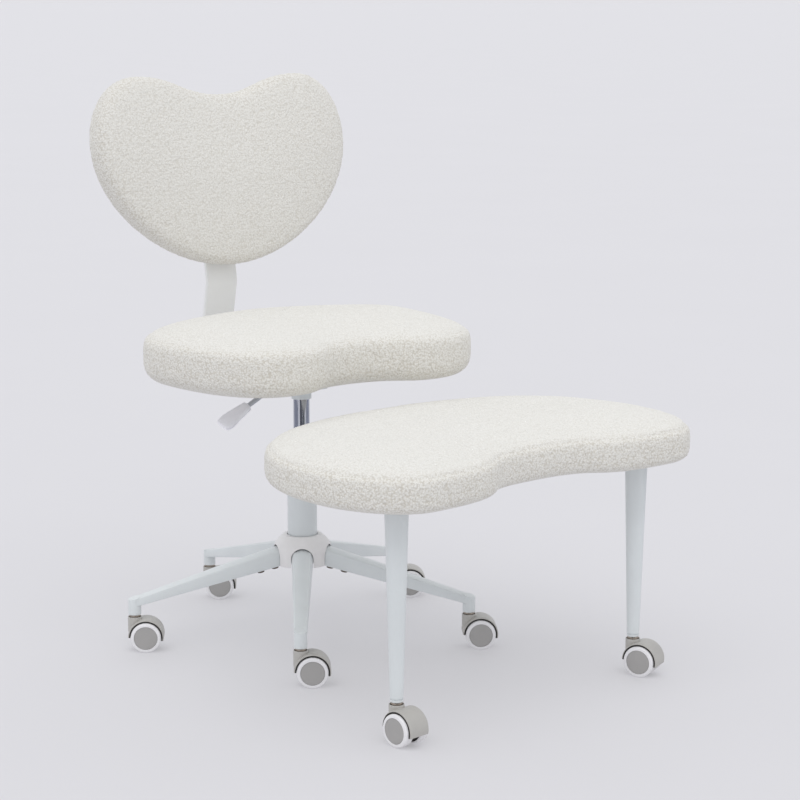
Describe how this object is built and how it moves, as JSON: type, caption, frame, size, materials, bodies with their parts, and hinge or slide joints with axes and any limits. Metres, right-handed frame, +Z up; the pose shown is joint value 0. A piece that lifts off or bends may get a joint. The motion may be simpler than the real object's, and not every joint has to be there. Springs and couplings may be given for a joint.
{
  "type": "cross-legged office chair",
  "caption": "Armless swivel chair in off-white teddy fabric with a heart-shaped back, and a wide padded footrest that swings round its column on casters",
  "frame": {"origin": "on the floor, under the middle of the bounding box", "axes": "+Z up, the seat faces -Y, the sitter's left hand is on +X"},
  "size_m": [0.7222, 0.9574, 0.9471],
  "materials": {
    "boucle": "off-white curled teddy fabric over foam",
    "plywood": "raw plywood",
    "painted_steel": "satin pale grey powder coat",
    "cover_plastic": "satin warm grey moulding",
    "hood_plastic": "satin grey beige moulding",
    "tyre_plastic": "white wheel with a grey cap",
    "bush_plastic": "white moulded bush",
    "lever_plastic": "pale grey moulding",
    "chrome": "polished chrome",
    "bright_steel": "bright steel"
  },
  "bodies": {
    "base": {"base_hub": "painted_steel", "hub_cover": "cover_plastic", "arm_1": "painted_steel", "arm_2": "painted_steel", "arm_3": "painted_steel", "arm_4": "painted_steel", "arm_5": "painted_steel", "column_tube": "painted_steel", "guide_bush": "bush_plastic", "caster_1_stem": "bright_steel", "caster_2_stem": "bright_steel", "caster_3_stem": "bright_steel", "caster_4_stem": "bright_steel", "caster_5_stem": "bright_steel"},
    "lift_rod": {"piston_rod": "bright_steel"},
    "seat": {"gas_cylinder": "chrome", "seat_mechanism": "painted_steel", "seat_board": "plywood", "seat_cushion": "boucle", "back_bar": "painted_steel", "back_board": "plywood", "back_cushion": "boucle"},
    "lever": {"lever_rod": "bright_steel", "lever_paddle": "lever_plastic"},
    "release": {"release_button": "bright_steel"},
    "footrest": {"swing_arm": "painted_steel", "footrest_board": "plywood", "footrest_cushion": "boucle", "leg_right": "painted_steel", "leg_left": "painted_steel", "caster_6_stem": "bright_steel", "caster_7_stem": "bright_steel"},
    "caster_1_hood": {"caster_1_hood": "hood_plastic"},
    "caster_1_wheels": {"caster_1_axle": "bright_steel", "caster_1_wheel_left": "tyre_plastic", "caster_1_wheel_right": "tyre_plastic"},
    "caster_2_hood": {"caster_2_hood": "hood_plastic"},
    "caster_2_wheels": {"caster_2_axle": "bright_steel", "caster_2_wheel_left": "tyre_plastic", "caster_2_wheel_right": "tyre_plastic"},
    "caster_3_hood": {"caster_3_hood": "hood_plastic"},
    "caster_3_wheels": {"caster_3_axle": "bright_steel", "caster_3_wheel_left": "tyre_plastic", "caster_3_wheel_right": "tyre_plastic"},
    "caster_4_hood": {"caster_4_hood": "hood_plastic"},
    "caster_4_wheels": {"caster_4_axle": "bright_steel", "caster_4_wheel_left": "tyre_plastic", "caster_4_wheel_right": "tyre_plastic"},
    "caster_5_hood": {"caster_5_hood": "hood_plastic"},
    "caster_5_wheels": {"caster_5_axle": "bright_steel", "caster_5_wheel_left": "tyre_plastic", "caster_5_wheel_right": "tyre_plastic"},
    "caster_6_hood": {"caster_6_hood": "hood_plastic"},
    "caster_6_wheels": {"caster_6_axle": "bright_steel", "caster_6_wheel_left": "tyre_plastic", "caster_6_wheel_right": "tyre_plastic"},
    "caster_7_hood": {"caster_7_hood": "hood_plastic"},
    "caster_7_wheels": {"caster_7_axle": "bright_steel", "caster_7_wheel_left": "tyre_plastic", "caster_7_wheel_right": "tyre_plastic"}
  },
  "joints": [
    {"name": "seat_swivel", "type": "hinge", "parent": "base", "child": "lift_rod", "pos_m": [-0.0467, 0.16385, 0.112], "axis": [0, 0, 1], "continuous": true},
    {"name": "seat_lift", "type": "slide", "parent": "lift_rod", "child": "seat", "axis": [0, 0, 1], "range_m": [-0.01, 0.07]},
    {"name": "lever", "type": "hinge", "parent": "seat", "child": "lever", "pos_m": [-0.0767, 0.16385, 0.4424], "axis": [0, 1, 0], "range_deg": [0, 6.7], "stiffness_Nm_per_rad": 4, "springref_deg": -4.01},
    {"name": "button", "type": "slide", "parent": "seat", "child": "release", "axis": [0, 0, -1], "range_m": [0, 0.0036]},
    {"name": "footrest_swing", "type": "hinge", "parent": "base", "child": "footrest", "pos_m": [-0.0467, 0.16385, 0.29], "axis": [0, 0, 1], "continuous": true},
    {"name": "caster_1_swivel", "type": "hinge", "parent": "base", "child": "caster_1_hood", "pos_m": [-0.21037, -0.07881, 0.05], "axis": [0, 0, 1], "continuous": true},
    {"name": "caster_1_roll", "type": "hinge", "parent": "caster_1_hood", "child": "caster_1_wheels", "pos_m": [-0.19485, -0.08869, 0.025], "axis": [0.5373, 0.8434, 0], "continuous": true},
    {"name": "caster_2_swivel", "type": "hinge", "parent": "base", "child": "caster_2_hood", "pos_m": [0.13351, -0.0668, 0.05], "axis": [0, 0, 1], "continuous": true},
    {"name": "caster_2_roll", "type": "hinge", "parent": "caster_2_hood", "child": "caster_2_wheels", "pos_m": [0.14903, -0.07669, 0.025], "axis": [0.5373, 0.8434, 0], "continuous": true},
    {"name": "caster_3_swivel", "type": "hinge", "parent": "base", "child": "caster_3_hood", "pos_m": [0.22835, 0.26396, 0.05], "axis": [0, 0, 1], "continuous": true},
    {"name": "caster_3_roll", "type": "hinge", "parent": "caster_3_hood", "child": "caster_3_wheels", "pos_m": [0.24387, 0.25407, 0.025], "axis": [0.5373, 0.8434, 0], "continuous": true},
    {"name": "caster_4_swivel", "type": "hinge", "parent": "base", "child": "caster_4_hood", "pos_m": [-0.05691, 0.45637, 0.05], "axis": [0, 0, 1], "continuous": true},
    {"name": "caster_4_roll", "type": "hinge", "parent": "caster_4_hood", "child": "caster_4_wheels", "pos_m": [-0.04139, 0.44649, 0.025], "axis": [0.5373, 0.8434, 0], "continuous": true},
    {"name": "caster_5_swivel", "type": "hinge", "parent": "base", "child": "caster_5_hood", "pos_m": [-0.32806, 0.24453, 0.05], "axis": [0, 0, 1], "continuous": true},
    {"name": "caster_5_roll", "type": "hinge", "parent": "caster_5_hood", "child": "caster_5_wheels", "pos_m": [-0.31254, 0.23464, 0.025], "axis": [0.5373, 0.8434, 0], "continuous": true},
    {"name": "caster_6_swivel", "type": "hinge", "parent": "footrest", "child": "caster_6_hood", "pos_m": [-0.24503, -0.38695, 0.05], "axis": [0, 0, 1], "continuous": true},
    {"name": "caster_6_roll", "type": "hinge", "parent": "caster_6_hood", "child": "caster_6_wheels", "pos_m": [-0.24199, -0.4051, 0.025], "axis": [0.9863, 0.165, 0], "continuous": true},
    {"name": "caster_7_swivel", "type": "hinge", "parent": "footrest", "child": "caster_7_hood", "pos_m": [0.26008, -0.33475, 0.05], "axis": [0, 0, 1], "continuous": true},
    {"name": "caster_7_roll", "type": "hinge", "parent": "caster_7_hood", "child": "caster_7_wheels", "pos_m": [0.26815, -0.35129, 0.025], "axis": [0.8988, 0.4384, 0], "continuous": true}
  ],
  "couplings": [
    {"joint": "button", "follows": "lever", "m_per_rad": 0.03}
  ]
}
